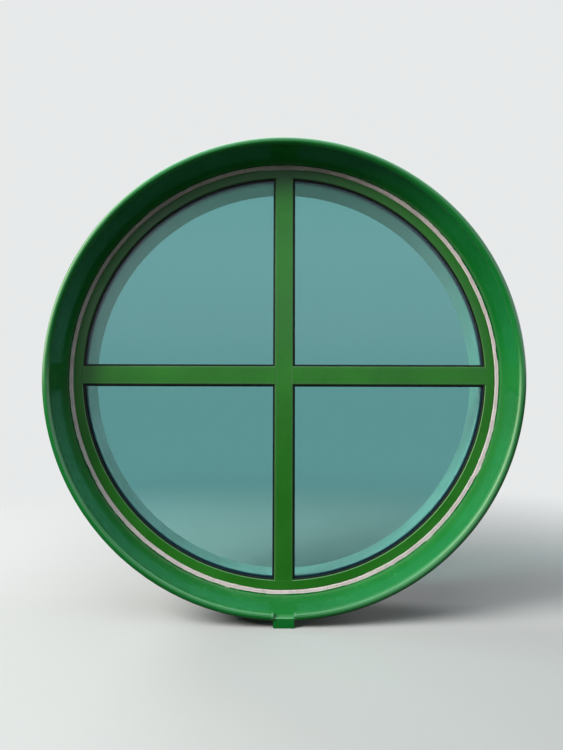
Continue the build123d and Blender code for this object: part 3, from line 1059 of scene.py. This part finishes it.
# %% Hand out the finishes
finishes = {
    "painted_steel": enamel,
    "coated_frame_outside": coat,
    "coated_frame_inside": pale,
    "break_strip": strip,
    "window_glass": glass,
    "spacer_bar": spacer,
    "edge_seal": edge_seal,
    "gasket_rubber": rubber,
    "sealant": putty,
    "foam_rod": foam,
    "packer_plastic": packer,
    "cast_connector": casting,
    "zinc_screw": zinc,
    "painted_lining": lining,
}
slot_of = {part["node"]: part["material_slot"] for part in frame["record"]["subparts"]}
for name, thing in frame["nodes"].items():
    for holder in thing.material_slots:
        holder.material = finishes[slot_of[name]]
own_pieces = {
    "frame_ring_outside": coat,
    "mullion_outside": coat,
    "transom_right_outside": coat,
    "transom_left_outside": coat,
    "conical_reveal": enamel,
    "rim_tube_rolled": enamel,
    "drip_spout_bent": enamel,
    "sealant_tooled": putty,
}
for name, material in own_pieces.items():
    bpy.data.objects[name].data.materials.append(material)
print("Dressed", len(slot_of), "nodes and", len(own_pieces), "new pieces")

# %% [markdown]
# ## Who is looking?
# A pale studio all round would turn the glossy enamel and the glass milky. So the floor and the
# world ask what kind of ray is looking. The camera sees the pale studio, and the window's
# mirrors see tones that are placed like daylight. Light Path answers four questions: is the
# studio seen at all, in a mirror, through glass, or through glass after a mirror, which is the
# inside as the glossy reveal mirrors it.

# %% Four questions for two trees
def lookers(tree):
    """Masks from Light Path: seen at all, mirrored, through glass, mirrored and then through glass."""
    path = add(tree, "LightPath").outputs
    seen = path["Is Camera Ray"]
    for label in ("Is Glossy Ray", "Is Transmission Ray"):
        seen = maths(tree, "MAXIMUM", seen, path[label])
    once = maths(tree, "MINIMUM", path["Glossy Depth"], 1.0)
    through_glass = path["Is Transmission Ray"]
    return seen, path["Is Reflection Ray"], through_glass, product(tree, through_glass, once)


pale_tone = (0.80, 0.82, 0.82, 1)
inside_tone = (0.34, 0.48, 0.50, 1)
low_tone = (0.055, 0.065, 0.060, 1)
print("Background tone:", pale_tone[:3], "and through the glass:", inside_tone[:3])

# %% [markdown]
# ## The floor
# The floor is a wide disc just below the apron. Near the window it is a plain matt surface that
# keeps the shadow, and far out it turns into the pale tone of the world, so that no horizon
# shows. Mirrored rays meet a dim floor. So does the light that bounces: it finds a dark surface,
# which keeps the underside of the reveal deep green.

# %% The floor's shape
floor_level = cad_low.z - 0.0005
floor_mesh = bpy.data.meshes.new("studio_floor")
bm = bmesh.new()
bmesh.ops.create_circle(bm, cap_ends=True, radius=40, segments=96)
bmesh.ops.translate(bm, verts=bm.verts[:], vec=(0, 0, floor_level))
bm.to_mesh(floor_mesh)
bm.free()
floor = bpy.data.objects.new("studio_floor", floor_mesh)
bpy.context.scene.collection.objects.link(floor)
print("The floor lies at", round(floor_level, 4))

# %% The floor's material
low_inside_tone = (0.10, 0.14, 0.15, 1)
floor_material, tree, place, shader = new_material("studio floor")
tree.nodes.remove(shader)
seen, mirrored, through_glass, mirrored_inside = lookers(tree)
away = add(tree, "VectorMath", {0: place}, operation="LENGTH").outputs["Value"]
matt = add(tree, "BsdfDiffuse", {"Color": (0.44, 0.45, 0.45, 1)}).outputs[0]
glow_tone = mixed(tree, through_glass, pale_tone, inside_tone)
glow = add(tree, "Emission", {"Color": glow_tone, "Strength": 1.0}).outputs[0]
far_out = between(tree, away, 1.6, 4.5)
shown = add(tree, "MixShader", {0: far_out, 1: matt, 2: glow}).outputs[0]
low_inside = mixed(tree, between(tree, away, 1.6, 7.0), low_inside_tone, inside_tone)
dim_tone = mixed(tree, mirrored_inside, low_tone, low_inside)
dim = add(tree, "Emission", {"Color": dim_tone, "Strength": 1.0}).outputs[0]
from_mirror = maths(tree, "MAXIMUM", mirrored, mirrored_inside)
shown = add(tree, "MixShader", {0: from_mirror, 1: shown, 2: dim}).outputs[0]
dark = add(tree, "BsdfDiffuse", {"Color": (0.10, 0.11, 0.09, 1)}).outputs[0]
surface = add(tree, "MixShader", {0: seen, 1: dark, 2: shown}).outputs[0]
fill(tree.nodes["Material Output"], {"Surface": surface})
floor_mesh.materials.append(floor_material)

# %% [markdown]
# ## What the window mirrors
# An outdoor picture would give the mirrors something to show, but it can't travel with the
# model. So we lay tones in bands by height: dim below, haze at eye level, a darker band, and
# bright daylight overhead, which draws the long soft line on the rolled tube. Two glows at the
# sides, in front only, stand in for the lamps, which are hidden from mirrors. The sharp mirror
# of the glass gets a calmer mix, or the panes would show hard bands.

# %% Daylight for the mirrors
world = bpy.data.worlds.new("studio")
bpy.context.scene.world = world
world.use_nodes = True
tree = world.node_tree
way = add(tree, "SeparateXYZ", {0: add(tree, "TexCoord").outputs["Generated"]}).outputs
bands = (
    (0.0, 0.16, (1.45, 1.45, 1.80, 1)),
    (0.26, 0.42, (0.25, 0.36, 0.45, 1)),
    (0.52, 0.72, (2.1, 2.7, 2.5, 1)),
)
glows = (
    (-0.42, -0.72, (5.2, 5.4, 4.0, 1)),
    (0.42, 0.72, (1.3, 1.6, 1.5, 1)),
)
daylight = low_tone
for low, high, tone in bands:
    daylight = mixed(tree, between(tree, way["Z"], low, high), daylight, tone)
above_floor = between(tree, way["Z"], -0.04, 0.14)
in_front = between(tree, way["Y"], -0.20, 0.40, 1.0, 0.0)
for near, far, tone in glows:
    aside = product(tree, between(tree, way["X"], near, far), in_front)
    daylight = mixed(tree, product(tree, aside, above_floor), daylight, tone)
calm = mixed(tree, between(tree, way["Z"], 0.0, 0.30), low_tone, inside_tone)
sharp = add(tree, "LightPath").outputs["Is Singular Ray"]
daylight = mixed(tree, product(tree, sharp, 0.5), daylight, calm)
print("Mirrors see", len(bands), "bands of light and", len(glows), "glows")

# %% [markdown]
# ## The world
# Now the answers meet. The camera sees the pale tone, rays through glass a dimmer one that
# stands for the inside, and mirrors the daylight. The light that bounces onto the window is
# dim, so that the lamps alone shape it.

# %% The world
bounce_tone = (0.07, 0.075, 0.085, 1)
high_inside_tone = (0.45, 0.92, 0.82, 1)
seen, mirrored, through_glass, mirrored_inside = lookers(tree)
high_inside = mixed(tree, between(tree, way["Z"], 0.0, 0.45), inside_tone, high_inside_tone)
inside = mixed(tree, mirrored_inside, inside_tone, high_inside)
plain = mixed(tree, through_glass, pale_tone, inside)
shown = mixed(tree, mirrored, plain, daylight)
fill(tree.nodes["Background"], {"Color": mixed(tree, seen, bounce_tone, shown)})
print("The world has", len(tree.nodes), "nodes")

# %% [markdown]
# ## Lamps
# Daylight reaches the real window from above and from the upper left. A large soft lamp there
# is the key, and a larger and weaker one hangs above in front. A third stands on the inside and
# lights the lining, and a weak one on the right keeps that side from going black. All of them
# are hidden from the camera and from mirrors, where square lamps would give themselves away.

# %% Four soft lamps
def soft_lamp(name, at, towards, size, power, colour=(1, 1, 1)):
    """A rectangular area lamp that lights the window and is itself never seen."""
    data = bpy.data.lights.new(name, "AREA")
    data.shape = "RECTANGLE"
    data.size, data.size_y = size
    data.energy = power
    data.color = colour
    lamp = bpy.data.objects.new(name, data)
    lamp.location = at
    lamp.rotation_mode = "QUATERNION"
    lamp.rotation_quaternion = (Vector(towards) - Vector(at)).to_track_quat("-Z", "Y")
    lamp.visible_camera = False
    lamp.visible_transmission = False
    lamp.visible_glossy = False
    bpy.context.scene.collection.objects.link(lamp)
    print("Lamp", name, "has", power, "W")


middle = (0, 0, 0)
soft_lamp("key_upper_left", (-6.7, -4.2, 5.3), middle, (4.8, 4.8), 1500, (1.0, 0.98, 0.93))
soft_lamp("above_in_front", (-0.8, -4.5, 7.5), middle, (7.0, 6.5), 360, (0.88, 0.96, 1.0))
soft_lamp("inside", (-3.9, 3.3, 2.5), (0.2, 0.1, -0.2), (2.6, 2.6), 195)
soft_lamp("fill_right", (6.4, 0.8, 2.4), middle, (3.5, 3.5), 140)

# %% [markdown]
# ## The camera
# The picture was taken with a wide lens from just below the middle of the window, tilted up by
# about three degrees. That tilt is what moves the circles against each other, so it matters
# more than the lens.

# %% Camera
camera_data = bpy.data.cameras.new("view_from_outside")
camera_data.lens = 27.12
camera_data.sensor_width = 36
camera = bpy.data.objects.new("view_from_outside", camera_data)
bpy.context.scene.collection.objects.link(camera)
camera_place = (-0.011, -2.545, -0.1347)
pitch = radians(3.16)
roll = radians(0.154)
turned = Matrix.Rotation(pi / 2 + pitch, 4, "X") @ Matrix.Rotation(roll, 4, "Z")
camera.matrix_world = Matrix.Translation(camera_place) @ turned
bpy.context.scene.camera = camera
bpy.context.scene.view_settings.view_transform = "Standard"
print("The camera looks up by", round(degrees(pitch), 2), "degrees from", camera_place)
